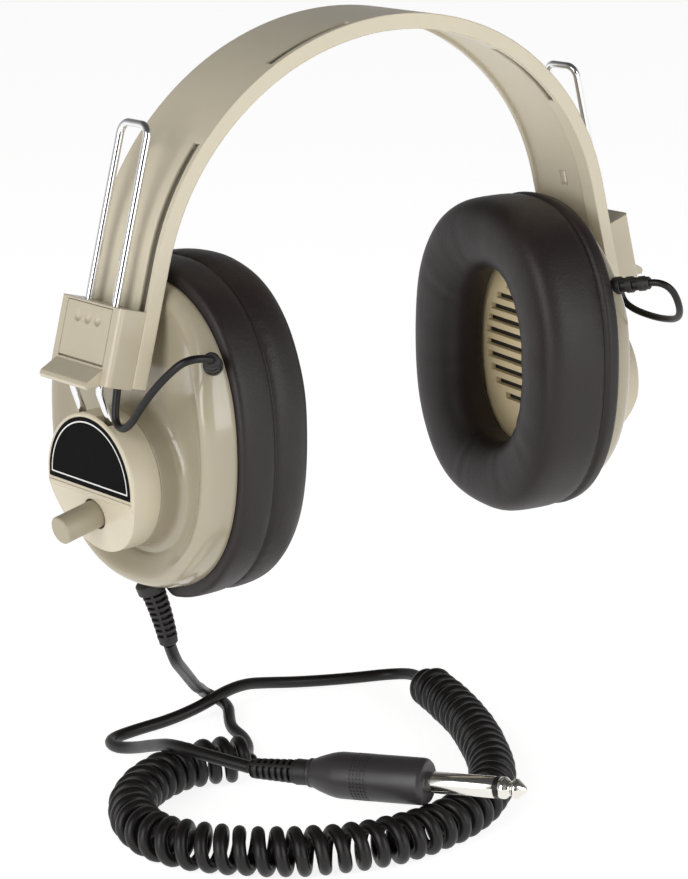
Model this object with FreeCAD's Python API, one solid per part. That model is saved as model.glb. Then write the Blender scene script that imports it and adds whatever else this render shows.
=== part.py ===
# Wired monitor headphones: flat moulded headband, wire yokes, oval ear cups, coiled cord, 6.35 mm plug.
# Frame: origin under the crown of the headband where a head carries it, +Z up, X from ear to ear,
# -Y towards the front edge of the band (the edge with the cable channel). Left ear is at -X. Units mm.
import math
import os
import FreeCAD, Part
V = FreeCAD.Vector
os.makedirs("parts", exist_ok=True)

# ---- headband ----
RIB_T = 4.8          # thickness of the cable rib along the front edge
EDGE_T = 2.95        # thickness of the lip along the back edge
SKIN_T = 2.0         # thickness of the flat skin
BAND_W = 29.8
HALF_W = BAND_W / 2
RIB_W = 5.4
ARCS = [(40.0, 21.3), (40.0, 24.4), (38.67, 28.87)]   # length and turn of each arc, crown to end
STRAIGHT = 37.0      # straight end that the slider housing sits on
TOP_Z = RIB_T        # outer crown height above the origin
CH_Y0 = -13.3        # cable channel inside the rib
CH_Y1 = -10.4
CH_V0 = 1.0
CH_V1 = 3.9
SLOT_W = 2.7
JUMP_D = 2.3         # jumper and band cable diameter
WINDOW = (-3.0, 2.2, -0.4, 2.4)

# ---- slider housing, local frame: x away from the band, z up along the band ----
H_TOP = 14.8
H_BOT = 37.6
H_OUT = 9.2
H_HALF = 14.45
WIRE_D = 2.4
WIRE_V = 4.3
WIRE_Y = 6.4
WIRE_BORE = WIRE_D + 0.14
WIRE_TOP = 36.8
PLATE_HALF = 10.8
PLATE_TOP = 15.5
PLATE_BOT = 32.3
PLATE_T = 1.5

# ---- cups, given for the right side ----
PIV_X = 99.8
PIV_Z = -114.0
CUP_Z = -111.6
BOSS_Z = -123.5
BOSS_R = 21.1
RIM_X = 106.85
SEAM_X = 96.7
FACE_X = 89.5
SHELL_X = 83.5
SHELL_W = 79.0
SHELL_H = 92.9
OVAL_N = 2.27
CUSH_W = 84.9
CUSH_H_L = 102.4        # the two soft rolls have not settled to quite the same height
CUSH_H_R = 104.4
CUSH_X0 = 55.0
SEAM_L = 70.6          # where the cover's seam has settled on each side
SEAM_R = 77.6
YAW_R = -10.0          # the right cup hangs turned about Z on its springy wire, and a little lower
SAG_R = -2.8
OPEN_W = 38.0
OPEN_H = 56.0
BAFFLE_X = 73.6
BAFFLE_W = 71.0
BAFFLE_H = 90.0
DRV_Z = -110.0
POST_Y = 23.0
POST_DZ = 29.0
FACET_TOP = (106.4, -127.3)
FACET_BOT = (102.8, -144.8)
KNOB_R = 4.25
KNOB_BASE = (105.2, -133.0)

# ---- cord ----
CORD_D = 3.9
COIL_D = 14.6
PLUG_P = V(-74.8, -33.5, -211.0)      # where the tail cord enters the plug
PLUG_DIR = V(0.4135, -0.9066, 0.0839)
REL_L = 19.0
BODY_L = 38.0
BODY_R = 6.9
JACK_R = 3.175
SLEEVE_L = 20.9
JACK_L = 30.5
FLOOR_Z = -226.8


def save(name, shape):
    if shape.ShapeType == "Solid":
        shape = Part.makeCompound([shape])
    shape = shape.copy()
    bad = [s for s in shape.Solids if not s.isValid()]
    print("%-22s solids %d volume %.1f invalid %d" % (name, len(shape.Solids), shape.Volume, len(bad)))
    shape.exportStep("parts/" + name + ".step")


def box(x0, x1, y0, y1, z0, z1):
    return Part.makeBox(x1 - x0, y1 - y0, z1 - z0, V(x0, y0, z0))


def rod(p, q, r):
    d = q.sub(p)
    return Part.makeCylinder(r, d.Length, p, d)


def fuse(shapes):
    out = shapes[0]
    if len(shapes) > 1:
        out = shapes[0].fuse(shapes[1:])
    return out.removeSplitter()


def mirror(shape):
    return shape.mirror(V(0, 0, 0), V(1, 0, 0))


# ---------------- headband profile ----------------
def band_pos(s):
    x = 0.0
    z = TOP_Z
    ang = 0.0
    for length, turn in ARCS:
        step = min(s, length)
        rad = length / math.radians(turn)
        a1 = ang + step / rad
        x += rad * (math.sin(a1) - math.sin(ang))
        z -= rad * (math.cos(ang) - math.cos(a1))
        ang = a1
        s -= step
        if s <= 1e-9:
            return x, z, ang
    return x + s * math.cos(ang), z - s * math.sin(ang), ang


S_END = sum(a[0] for a in ARCS)
END_X, END_Z, END_A = band_pos(S_END)


def band_pt(s, off, y):
    x, z, ang = band_pos(s)
    return V(x - off * math.sin(ang), y, z - off * math.cos(ang))


def band_curve(off, s0, s1, y):
    knots = [s0]
    total = 0.0
    for length, turn in ARCS:
        total += length
        if s0 < total - 1e-6 < s1 - 1e-5:
            knots.append(total)
    knots.append(s1)
    edges = []
    for a, b in zip(knots[:-1], knots[1:]):
        if a >= S_END - 1e-6:
            edges.append(Part.LineSegment(band_pt(a, off, y), band_pt(b, off, y)).toShape())
        else:
            mid = (a + b) / 2
            edges.append(Part.Arc(band_pt(a, off, y), band_pt(mid, off, y), band_pt(b, off, y)).toShape())
    return edges


def ribbon(off0, off1, y0, y1, s0=0.0, s1=None):
    if s1 is None:
        s1 = S_END + STRAIGHT
    edges = band_curve(off0, s0, s1, y0)
    edges.append(Part.LineSegment(band_pt(s1, off0, y0), band_pt(s1, off1, y0)).toShape())
    edges += band_curve(off1, s0, s1, y0)
    edges.append(Part.LineSegment(band_pt(s0, off0, y0), band_pt(s0, off1, y0)).toShape())
    wire = Part.Wire(Part.__sortEdges__(edges))
    return Part.Face(wire).extrude(V(0, y1 - y0, 0))


def local(shape):
    # from the housing's local frame to the right end of the band
    out = shape.copy()
    out.rotate(V(0, 0, 0), V(0, 1, 0), -(90.0 - math.degrees(END_A)))
    out.translate(V(END_X, 0, END_Z))
    return out


def local_pt(v, y, u):
    t = (math.cos(END_A), -math.sin(END_A))
    n = (math.sin(END_A), math.cos(END_A))
    return V(END_X + t[0] * u + n[0] * v, y, END_Z + t[1] * u + n[1] * v)


def headband():
    half = [ribbon(0, SKIN_T, -HALF_W + RIB_W - 0.2, HALF_W - 1.4),
            ribbon(0, RIB_T, -HALF_W, -HALF_W + RIB_W),
            ribbon(0, EDGE_T, HALF_W - 1.6, HALF_W)]
    body = fuse(half)
    body = body.cut(ribbon(CH_V0, CH_V1, CH_Y0, CH_Y1, 0.0, S_END + STRAIGHT))
    for s0, s1 in ((16.0, 48.0), (82.0, S_END + H_TOP + 8)):
        body = body.cut(ribbon(-0.2, CH_V0 + 0.1, CH_Y0, CH_Y0 + SLOT_W, s0, s1))
    for s0, s1 in ((0.0, 16.0), (48.0, 82.0)):
        body = body.cut(ribbon(CH_V1 - 0.1, RIB_T + 0.2, CH_Y0, CH_Y0 + SLOT_W, s0, s1))
    s0, s1, y0, y1 = WINDOW
    body = body.cut(ribbon(-0.5, 2.6, y0, y1, S_END + s0, S_END + s1))
    # notch that lets the cable leave the channel inside the housing
    body = body.cut(ribbon(-0.2, CH_V1, CH_Y0, CH_Y1, S_END + H_TOP + 4, S_END + STRAIGHT))
    for u in SCREW_U:
        hole = rod(local_pt(-3.0, 0, u), local_pt(1.0, 0, u), 1.3)
        body = body.cut(hole)
    return body.fuse(mirror(body)).removeSplitter()


SCREW_U = (20.0, 31.0)


def housing():
    body = box(0, H_OUT, -H_HALF, H_HALF, -H_BOT, -H_TOP)
    edges = []
    for e in body.Edges:
        c = e.CenterOfMass
        if abs(c.x - H_OUT) < 0.01 and abs(abs(c.y) - H_HALF) < 0.01:
            edges.append(e)
    body = body.makeFillet(1.6, edges)
    pts = [(8.6, -32.9), (9.2, -32.9), (13.9, -37.2), (14.2, -38.4), (13.4, -39.3), (8.6, -37.5)]
    wire = Part.makePolygon([V(x, -PLATE_HALF - 0.4, z) for x, z in pts + pts[:1]])
    ledge = Part.Face(wire).extrude(V(0, 2 * PLATE_HALF + 0.8, 0))
    body = fuse([body, ledge])
    pocket = box(-0.1, 2.4, -12.2, -3.0, -35.6, -H_TOP + 0.1)
    pocket = pocket.fuse(box(-0.1, 2.4, 3.0, 12.2, -35.6, -H_TOP + 0.1))
    body = body.cut(pocket)
    body = body.cut(box(-0.1, 2.9, -12.2, -8.9, -H_BOT - 2, -35.5))
    for y in (-WIRE_Y, WIRE_Y):
        body = body.cut(rod(V(WIRE_V, y, -H_BOT - 3), V(WIRE_V, y, -H_TOP + 1), WIRE_BORE / 2))
    body = body.cut(box(H_OUT - PLATE_T, H_OUT + 0.1, -PLATE_HALF, PLATE_HALF, -PLATE_BOT, -PLATE_TOP))
    body = body.cut(box(6.1, H_OUT - PLATE_T + 0.1, -9.6, 9.6, -30.5, -17.5))
    for u in SCREW_U:
        body = body.cut(rod(V(-0.1, 0, -u), V(2.3, 0, -u), 1.25))
    return local(body)


def cover_plate():
    body = box(H_OUT - PLATE_T, H_OUT, -PLATE_HALF + 0.2, PLATE_HALF - 0.2, -PLATE_BOT + 0.55, -PLATE_TOP - 0.15)
    for k in (-1, 0, 1):
        body = body.cut(Part.makeSphere(1.9, V(H_OUT + 0.9, 4.7 * k, -19.8)))
    return local(body)


def friction_spring():
    # a bowed leaf that lies under the cover plate and presses on the two wires
    pts = [(7.65, -18.0), (6.75, -21.0), (6.55, -24.0), (6.75, -27.0), (7.65, -30.0),
           (7.25, -30.0), (6.35, -27.0), (6.15, -24.0), (6.35, -21.0), (7.25, -18.0)]
    wire = Part.makePolygon([V(x, -9.0, z) for x, z in pts + pts[:1]])
    return local(Part.Face(wire).extrude(V(0, 18.0, 0)))


def housing_screws():
    out = []
    for u in SCREW_U:
        p = local_pt(-SKIN_T, 0, u)
        shank = rod(p, local_pt(2.2, 0, u), 1.25)
        head = rod(local_pt(-SKIN_T - 1.3, 0, u), p, 2.5)
        slot = rod(local_pt(-SKIN_T - 1.4, 0, u), local_pt(-SKIN_T - 0.7, 0, u), 0.8)
        out.append(shank.fuse(head).cut(slot).removeSplitter())
    return out


def smooth_path(points, radii=None, factor=0.45, show=""):
    # straight runs joined by tangent arcs; radius from the shorter neighbouring run unless given
    edges = []
    start = points[0]
    notes = []
    for i in range(1, len(points) - 1):
        a = points[i].sub(points[i - 1])
        b = points[i + 1].sub(points[i])
        turn = a.getAngle(b)
        d = factor * min(a.Length, b.Length)
        if radii:
            d = radii[i - 1] * math.tan(turn / 2)
        rad = d / math.tan(turn / 2)
        notes.append("%.1f" % rad)
        ua = V(a).normalize()
        ub = V(b).normalize()
        p0 = points[i].sub(ua * d)
        p1 = points[i].add(ub * d)
        bis = V(ub.sub(ua)).normalize()
        centre = points[i].add(bis * (rad / math.cos(turn / 2)))
        mid = centre.sub(bis * rad)
        if p0.sub(start).Length > 1e-4:
            edges.append(Part.LineSegment(start, p0).toShape())
        edges.append(Part.Arc(p0, mid, p1).toShape())
        start = p1
    edges.append(Part.LineSegment(start, points[-1]).toShape())
    if show:
        print(show, "bend radii", " ".join(notes))
    return Part.Wire(edges)


def tube(points, r, radii=None, show=""):
    path = smooth_path(points, radii, show=show)
    d = points[1].sub(points[0])
    circle = Part.Wire(Part.makeCircle(r, points[0], d))
    shape = path.makePipeShell([circle], True, False)
    if show:
        length = sum(e.Length for e in path.Edges)
        print(show, "length %.1f volume ratio %.3f" % (length, shape.Volume / (length * math.pi * r * r)))
    return Part.Solid(shape) if shape.ShapeType != "Solid" else shape


def yoke(left):
    top = -WIRE_TOP
    bend = 40.4
    ends = [V(PIV_X, y, PIV_Z) for y in (11.6, WIRE_Y, -WIRE_Y, -11.6)]
    if not left:
        ends = [turned_pt(p) for p in ends]
    pts = [ends[0], ends[1], local_pt(WIRE_V, WIRE_Y, bend),
           local_pt(WIRE_V, WIRE_Y, top), local_pt(WIRE_V, -WIRE_Y, top),
           local_pt(WIRE_V, -WIRE_Y, bend), ends[2], ends[3]]
    return tube(pts, WIRE_D / 2, [1.9, 4.0, 3.4, 3.4, 4.0, 1.9])


# ---------------- cups ----------------
def oval_wire(x, w, h, z=CUP_Z, count=32):
    pts = []
    for i in range(count):
        a = 2 * math.pi * (i + 0.5) / count
        c = math.cos(a)
        s = math.sin(a)
        y = w / 2 * math.copysign(abs(c) ** (2 / OVAL_N), c)
        k = h / 2 * math.copysign(abs(s) ** (2 / OVAL_N), s)
        pts.append(V(x, y, z + k))
    curve = Part.BSplineCurve()
    curve.interpolate(Points=pts, PeriodicFlag=True)
    return Part.Wire(curve.toShape())


def oval_loft(sections, z=CUP_Z):
    return Part.makeLoft([oval_wire(x, w, h, z) for x, w, h in sections], True, True)


def oval_prism(x0, x1, w, h, z=CUP_Z):
    return Part.Face(oval_wire(x0, w, h, z)).extrude(V(x1 - x0, 0, 0))


def posts():
    return [(y, CUP_Z + dz) for y in (-POST_Y, POST_Y) for dz in (-POST_DZ, POST_DZ)]


def shell(left):
    w = SHELL_W
    h = SHELL_H
    outer = oval_loft([(SHELL_X, w + 1, h + 1), (84.5, w + 0.9, h + 0.9), (86.6, w - 0.4, h - 0.4),
                       (88.1, w - 2.2, h - 2.2), (89.1, w - 4.8, h - 4.8), (FACE_X, w - 8.2, h - 8.2)])
    body = fuse([outer, Part.makeCylinder(BOSS_R, SEAM_X - 88.0, V(88.0, 0, BOSS_Z), V(1, 0, 0))])
    body = body.cut(oval_prism(SHELL_X - 0.1, 86.1, w - 5.4, h - 5.4))
    # the face falls away towards the band
    slope = Part.makePolygon([V(89.6, -50, -93), V(87.1, -50, -64), V(95, -50, -60), V(95, -50, -93), V(89.6, -50, -93)])
    body = body.cut(Part.Face(slope).extrude(V(0, 100, 0)).cut(
        Part.makeCylinder(BOSS_R, 20, V(85, 0, BOSS_Z), V(1, 0, 0))))
    body = body.cut(Part.makeCylinder(BOSS_R - 2.3, 12, V(86, 0, BOSS_Z), V(1, 0, 0)))
    for y, z in posts():
        post = Part.makeCylinder(3.0, 86.4 - SHELL_X, V(SHELL_X, y, z), V(1, 0, 0))
        body = body.fuse(post).cut(Part.makeCylinder(1.25, 3.6, V(SHELL_X - 0.1, y, z), V(1, 0, 0)))
    root, end = relief_line(left)
    body = body.cut(rod(root, end, 1.9))
    if left:
        body = body.cut(rod(V(86.0, 0.4, -150), V(86.0, 0.4, -162), 2.4))
    return body.removeSplitter()


def facet_cut(shift, depth):
    # everything in front of the sloping facet, moved inwards by shift
    ax, az = FACET_TOP
    bx, bz = FACET_BOT
    pts = [(ax - shift, az + depth), (bx - shift, bz), (bx - shift, bz - 6), (115, bz - 6), (115, az + depth)]
    wire = Part.makePolygon([V(x, -30, z) for x, z in pts + pts[:1]])
    return Part.Face(wire).extrude(V(0, 60, 0))


def knob_axis():
    dx = FACET_TOP[0] - FACET_BOT[0]
    dz = FACET_TOP[1] - FACET_BOT[1]
    ln = math.hypot(dx, dz)
    return V(dz / ln, 0, -dx / ln)


def kpt(s):
    a = knob_axis()
    return V(KNOB_BASE[0] + a.x * s, 0, KNOB_BASE[1] + a.z * s)


def cap(left):
    body = Part.makeCylinder(BOSS_R, RIM_X - SEAM_X, V(SEAM_X, 0, BOSS_Z), V(1, 0, 0))
    rim = [e for e in body.Edges if abs(e.CenterOfMass.x - RIM_X) < 0.01 and len(e.Vertexes) < 3 and e.Length > 100]
    body = body.makeFillet(0.9, rim[:1])
    body = body.cut(facet_cut(0.0, 0.0))
    inner = Part.makeCylinder(BOSS_R - 2.3, 104.6 - SEAM_X + 0.1, V(SEAM_X - 0.1, 0, BOSS_Z), V(1, 0, 0))
    inner = inner.cut(facet_cut(2.1, 2.5))
    body = body.cut(inner)
    for y in (-WIRE_Y, WIRE_Y):
        body = body.cut(box(100.4, 106.15, y - 2.8, y + 2.8, -110, -99))
    # shallow D-shaped seat for the plate
    body = body.cut(label_shape(19.8, -124.9, 106.35, 107.5))
    ridge = Part.makeCylinder(20.1, 0.35, V(RIM_X - 0.05, 0, BOSS_Z), V(1, 0, 0))
    body = body.fuse(ridge.common(box(100, 110, -30, 30, -126.5, -125.8)))
    if left:
        body = body.cut(rod(kpt(-6), kpt(6), 4.8))
    return body.removeSplitter()


def label_shape(r, chord, x0, x1):
    disc = Part.makeCylinder(r, x1 - x0, V(x0, 0, BOSS_Z), V(1, 0, 0))
    return disc.common(box(x0 - 1, x1 + 1, -40, 40, chord, chord + 60))


def bearing():
    web = box(SEAM_X + 0.3, 98.0, -12.4, 12.4, PIV_Z - 4.2, PIV_Z + 3.4)
    ears = [box(97.9, 102.6, 8.3, 12.1, PIV_Z - 3.4, PIV_Z + 3.0),
            box(97.9, 102.6, -12.1, -8.3, PIV_Z - 3.4, PIV_Z + 3.0)]
    lugs = [box(SEAM_X + 0.3, 97.9, 12.1, 15.7, PIV_Z - 4.2, PIV_Z + 0.1),
            box(SEAM_X + 0.3, 97.9, -15.7, -12.1, PIV_Z - 4.2, PIV_Z + 0.1)]
    body = fuse([web] + ears + lugs)
    body = body.cut(rod(V(PIV_X, -13, PIV_Z), V(PIV_X, 13, PIV_Z), WIRE_D / 2 + 0.06))
    for y in (-14.3, 14.3):
        body = body.cut(rod(V(90, y, PIV_Z - 1.9), V(98.05, y, PIV_Z - 1.9), 0.95))
    return body


def bearing_posts():
    # posts on the cap that the bearing's lugs are screwed to
    out = []
    for y in (-14.3, 14.3):
        post = rod(V(98.0, y, PIV_Z - 1.9), V(104.9, y, PIV_Z - 1.9), 2.0)
        hole = rod(V(97, y, PIV_Z - 1.9), V(103.1, y, PIV_Z - 1.9), 0.9)
        out.append(post.cut(hole))
    return out


def bearing_screws():
    out = []
    for y in (-14.3, 14.3):
        z = PIV_Z - 1.9
        head = rod(V(95.9, y, z), V(SEAM_X + 0.3, y, z), 1.7)
        shank = rod(V(SEAM_X + 0.3, y, z), V(103.0, y, z), 0.9)
        out.append(head.fuse(shank).removeSplitter())
    return out


def cushion(left):
    seam = SEAM_L if left else SEAM_R
    h = CUSH_H_L if left else CUSH_H_R
    o = [(83.5, 83.2, h - 1.8), (82.2, 84.5, h - 0.5), (seam + 2.2, 84.9, h), (seam + 0.6, 83.6, h - 1.3),
         (seam, 83.0, h - 1.9), (seam - 0.6, 83.6, h - 1.3), (seam - 2.6, 84.9, h), (63.6, 84.8, h - 0.1),
         (59.6, 83.4, h - 1.5), (57.2, 80.4, h - 4.5), (55.6, 75.6, h - 9.4)]
    body = oval_loft(o)
    nose = oval_loft([(55.6, 75.6, h - 9.4), (CUSH_X0, 69.0, h - 16.0)])
    body = fuse([body, nose])
    hole = oval_loft([(CUSH_X0 - 0.1, OPEN_W + 13, OPEN_H + 13), (56.8, OPEN_W + 5, OPEN_H + 5),
                      (59.5, OPEN_W, OPEN_H), (65.0, OPEN_W, OPEN_H), (74.0, OPEN_W + 6, OPEN_H + 6)], CUP_Z)
    body = body.cut(hole)
    body = body.cut(oval_prism(BAFFLE_X, SHELL_X + 0.1, BAFFLE_W, BAFFLE_H))
    if left:
        # the soft roll gives way round the cord's strain relief
        body = body.cut(rod(V(86.6, 0.6, -156.0), V(78.8, -2.3, -185.0), 5.5))
    return body


def baffle():
    plate = oval_prism(BAFFLE_X, BAFFLE_X + 2.0, BAFFLE_W, BAFFLE_H)
    wall = oval_prism(BAFFLE_X, SHELL_X, BAFFLE_W, BAFFLE_H)
    wall = wall.cut(oval_prism(BAFFLE_X + 2.0, SHELL_X + 0.1, BAFFLE_W - 4.4, BAFFLE_H - 4.4))
    body = plate.fuse(wall)
    for y, z in posts():
        body = body.fuse(Part.makeCylinder(3.0, SHELL_X - BAFFLE_X - 1.0, V(BAFFLE_X + 1.0, y, z), V(1, 0, 0)))
    for k in range(10):
        z = DRV_Z + (k - 4.5) * 4.2
        half = math.sqrt(21.0 ** 2 - (z - DRV_Z) ** 2)
        body = body.cut(box(BAFFLE_X - 0.1, BAFFLE_X + 2.1, -half, half, z - 1.05, z + 1.05))
    for y, z in posts():
        body = body.cut(Part.makeCylinder(2.8, 1.5, V(BAFFLE_X - 0.1, y, z), V(1, 0, 0)))
        body = body.cut(Part.makeCylinder(1.3, 20, V(BAFFLE_X - 0.1, y, z), V(1, 0, 0)))
    return body.removeSplitter()


def baffle_screws():
    out = []
    for y, z in posts():
        head = Part.makeCylinder(2.5, 1.2, V(BAFFLE_X + 0.2, y, z), V(1, 0, 0))
        cross = box(BAFFLE_X, BAFFLE_X + 0.8, y - 1.5, y + 1.5, z - 0.3, z + 0.3)
        shank = Part.makeCylinder(1.25, 85.9 - BAFFLE_X - 1.4, V(BAFFLE_X + 1.4, y, z), V(1, 0, 0))
        out.append(head.cut(cross).fuse(shank).removeSplitter())
    return out


def driver_frame():
    x0 = BAFFLE_X + 2.0
    ring = Part.makeCylinder(25.0, 4.6, V(x0, 0, DRV_Z), V(1, 0, 0))
    ring = ring.cut(Part.makeCylinder(22.4, 3.4, V(x0 - 0.1, 0, DRV_Z), V(1, 0, 0)))
    ring = ring.cut(Part.makeCylinder(13.0, 3, V(x0 + 3, 0, DRV_Z), V(1, 0, 0)))
    for k in range(6):
        a = math.pi / 3 * k
        ring = ring.cut(Part.makeCylinder(2.2, 3, V(x0 + 3, 17.8 * math.cos(a), DRV_Z + 17.8 * math.sin(a)),
                                          V(1, 0, 0)))
    return ring


def driver_magnet():
    x0 = BAFFLE_X + 4.0
    back = Part.makeCylinder(13.0, 5.4, V(x0 + 1.0, 0, DRV_Z), V(1, 0, 0))
    gap = Part.makeCylinder(7.6, 4.2, V(x0 + 0.9, 0, DRV_Z), V(1, 0, 0))
    pole = Part.makeCylinder(6.2, 4.4, V(x0 + 1.0, 0, DRV_Z), V(1, 0, 0))
    return back.cut(gap).fuse(pole).removeSplitter()


def driver_cone():
    x0 = BAFFLE_X + 2.0
    a = Part.makeCone(22.4, 21.4, 0.5, V(x0 + 0.3, 0, DRV_Z), V(1, 0, 0))
    dome = Part.makeCylinder(7.2, 1.3, V(x0 + 0.3, 0, DRV_Z), V(1, 0, 0))
    coil = Part.makeCylinder(7.2, 4.0, V(x0 + 0.5, 0, DRV_Z), V(1, 0, 0))
    coil = coil.cut(Part.makeCylinder(6.7, 5.0, V(x0 + 0.8, 0, DRV_Z), V(1, 0, 0)))
    dome = dome.cut(Part.makeCylinder(6.7, 1.0, V(x0 + 0.8, 0, DRV_Z), V(1, 0, 0)))
    return fuse([a, dome, coil])


def acoustic_felt():
    x0 = BAFFLE_X + 2.0
    ring = Part.makeCylinder(31.0, 1.2, V(x0, 0, DRV_Z - 1.5), V(1, 0, 0))
    return ring.cut(Part.makeCylinder(25.3, 3, V(x0 - 1, 0, DRV_Z), V(1, 0, 0)))


def turned(shape):
    # the right cup's turn about the upright line through its pivot
    out = shape.copy()
    out.rotate(V(PIV_X, 0, PIV_Z), V(0, 0, 1), YAW_R)
    out.translate(V(0, 0, SAG_R))
    return out


def turned_pt(p):
    a = math.radians(YAW_R)
    dx = p.x - PIV_X
    return V(PIV_X + dx * math.cos(a) - p.y * math.sin(a), dx * math.sin(a) + p.y * math.cos(a), p.z + SAG_R)


def relief_line(left):
    # jumper strain relief: where it leaves the shell's side wall, and its free end
    if left:
        return V(85.6, -31.5, -86.8), V(93.2, -41.2, -81.2)
    return V(85.6, -31.5, -85.6), V(92.8, -44.0, -83.0)


def ribbed(p, q, r0, r1, rings, bore_r=0.0, flange=0.0):
    # a tapered sleeve with raised rings
    d = q.sub(p)
    n = V(d).normalize()
    body = Part.makeCone(r0, r1, d.Length, p, n)
    for k in range(rings):
        f = (k + 0.8) / (rings + 0.6)
        c = p.add(d * f)
        body = body.fuse(Part.makeCylinder(r0 + (r1 - r0) * f + 0.7, 0.9, c, n))
    if flange:
        body = body.fuse(Part.makeCylinder(flange, 1.6, p, n))
    if bore_r:
        body = body.cut(Part.makeCylinder(bore_r, d.Length + 2, p.sub(n), n))
    return body.removeSplitter()


def jumper_relief(left):
    root, end = relief_line(left)
    n = V(end.sub(root)).normalize()
    start = root.add(n * 0.6)
    return fuse([ribbed(root.add(n * 3.4), end, 3.0, 2.0, 3), rod(start, root.add(n * 3.6), 1.9)])


def jumper(left):
    root, end = relief_line(left)
    if not left:
        root, end = turned_pt(root), turned_pt(end)
    n = V(end.sub(root)).normalize()
    out = end.add(n * 7.0)
    a = local_pt(1.15, -10.6, H_BOT - 4.0)
    b = local_pt(1.45, -10.6, H_BOT + 3.0)
    if left:
        pts = [a, b, V(105.2, -12.6, -103.4), V(107.3, -25.0, -97.5), V(103.5, -38.0, -84.0), out, end]
    else:
        pts = [a, b, V(105.2, -13.5, -101.5), V(106.0, -28.0, -103.5), V(98.0, -45.5, -99.0), out, end]
    return tube(pts, JUMP_D / 2, show="jumper " + ("left" if left else "right"))


def band_cable():
    # the cable that joins the two drivers lies whole in the band's channel
    y = (CH_Y0 + CH_Y1) / 2
    edges = band_curve(2.45, 0.0, S_END + STRAIGHT - 4.0, y)
    path = Part.Wire(Part.__sortEdges__(edges))
    p = band_pt(0, 2.45, y)
    half = path.makePipeShell([Part.Wire(Part.makeCircle(JUMP_D / 2, p, V(1, 0, 0)))], True, False)
    return half.fuse(mirror(half)).removeSplitter()


# ---------------- plug and cord ----------------
def plug_pt(s):
    d = V(PLUG_DIR).normalize()
    return PLUG_P.add(d * s)


def plug_disc(s0, s1, r0, r1=None):
    d = V(PLUG_DIR).normalize()
    if r1 is None or abs(r1 - r0) < 1e-6:
        return Part.makeCylinder(r0, s1 - s0, plug_pt(s0), d)
    return Part.makeCone(r0, r1, s1 - s0, plug_pt(s0), d)


def plug_parts():
    s = REL_L
    relief = fuse([ribbed(plug_pt(0.8), plug_pt(s), 3.0, 4.0, 5), plug_disc(0, 0.9, 2.9)])
    body = fuse([plug_disc(s, s + 11.0, 4.6, BODY_R), plug_disc(s + 11.0, s + BODY_L - 1.6, BODY_R),
                 plug_disc(s + BODY_L - 1.6, s + BODY_L, BODY_R, BODY_R - 1.3)])
    s += BODY_L
    sleeve = plug_disc(s, s + SLEEVE_L, JACK_R)
    s += SLEEVE_L
    ins = plug_disc(s, s + 1.6, JACK_R + 0.05)
    tip = fuse([plug_disc(s + 1.6, s + 3.4, JACK_R), plug_disc(s + 3.4, s + 4.6, JACK_R, 2.2),
                plug_disc(s + 4.6, s + 5.8, 2.2, 2.95), plug_disc(s + 5.8, s + 7.0, 2.95),
                plug_disc(s + 7.0, s + JACK_L - SLEEVE_L, 2.95, 0.8)])
    return relief, body, sleeve, ins, tip


COIL = [V(-56.5, -10.5, -219.5), V(-68.0, -2.0, -219.5), V(-88.0, -2.5, -219.5), V(-108.0, -14.5, -219.5),
        V(-117.5, -38.0, -219.5), V(-107.0, -60.0, -219.5), V(-88.0, -78.5, -219.5), V(-62.0, -89.0, -219.5),
        V(-34.0, -86.5, -219.5), V(-12.0, -73.0, -219.5), V(6.0, -48.0, -219.5), V(20.0, -22.0, -219.5),
        V(28.2, 2.5, -219.5)]
RELIEF_TOP = V(-86.0, 0.4, -157.0)
RELIEF_END = V(-80.6, -1.6, -178.5)
LEAD = [RELIEF_END, V(-77.0, 0.5, -185.5), V(-66.5, 11.0, -193.5), V(-53.0, 24.5, -204.0), V(-42.0, 35.5, -212.5),
        V(-34.0, 43.5, -217.4), V(-28.5, 49.0, -221.6), V(-23.5, 46.0, -224.8), V(-26.0, 39.0, -224.8),
        V(-31.5, 32.0, -224.8), V(-37.0, 24.0, -224.8), V(-39.0, 15.5, -224.8), V(-43.0, 8.0, -224.8),
        V(-48.5, 2.0, -224.4), V(-53.0, -5.5, -222.5), COIL[0]]
TAIL = [COIL[-1], V(34.0, 13.5, -221.0), V(33.5, 25.0, -224.0), V(21.0, 33.0, -224.8), V(4.0, 39.5, -223.6),
        V(-8.0, 41.8, -221.4), V(-17.0, 41.6, -219.5), V(-27.0, 40.2, -219.4), V(-37.0, 39.2, -221.4),
        V(-49.0, 40.6, -223.6), V(-61.0, 43.6, -224.8), V(-72.5, 42.6, -224.8), V(-75.5, 35.0, -224.4),
        V(-74.5, 25.5, -222.0), V(-78.5, 11.0, -215.8), V(-83.0, -5.0, -209.6), V(-81.0, -18.0, -209.6), PLUG_P]


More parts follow.
